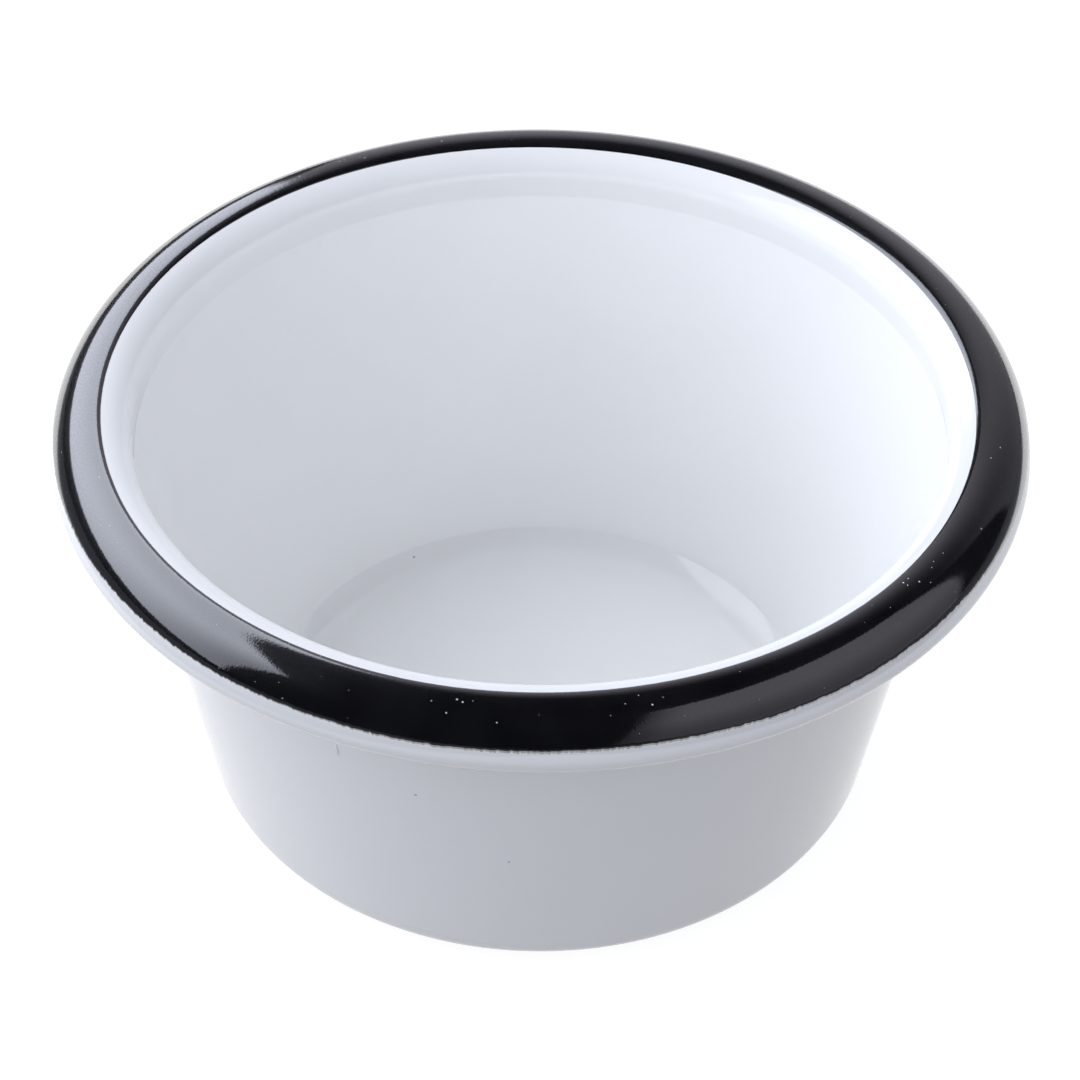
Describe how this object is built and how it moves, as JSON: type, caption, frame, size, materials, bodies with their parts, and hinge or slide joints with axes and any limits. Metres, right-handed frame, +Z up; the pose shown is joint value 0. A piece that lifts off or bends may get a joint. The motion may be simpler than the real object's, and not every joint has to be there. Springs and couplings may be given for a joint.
{
  "type": "ramekin",
  "caption": "Small round enamelled steel ramekin with a flared wall, flat base and thick curled rim, white all over with a black rim band.",
  "frame": {"origin": "centre of the flat base, on the surface the bowl stands on", "axes": "+Z up along the bowl's axis; the bowl is round, so X and Y are free"},
  "size_m": [0.08, 0.08, 0.0379],
  "materials": {
    "steel": "bare pressed steel, hidden under the enamel",
    "ground_enamel": "dark blue fired ground coat",
    "white_enamel": "glossy cool white fired cover coat",
    "black_enamel": "satin black fired rim band with a slightly ragged lower edge"
  },
  "bodies": {
    "root": {"steel_bowl": "steel", "ground_coat_inside": "ground_enamel", "ground_coat_outside": "ground_enamel", "white_coat_inside": "white_enamel", "white_coat_outside": "white_enamel", "black_rim_band": "black_enamel"}
  },
  "joints": []
}
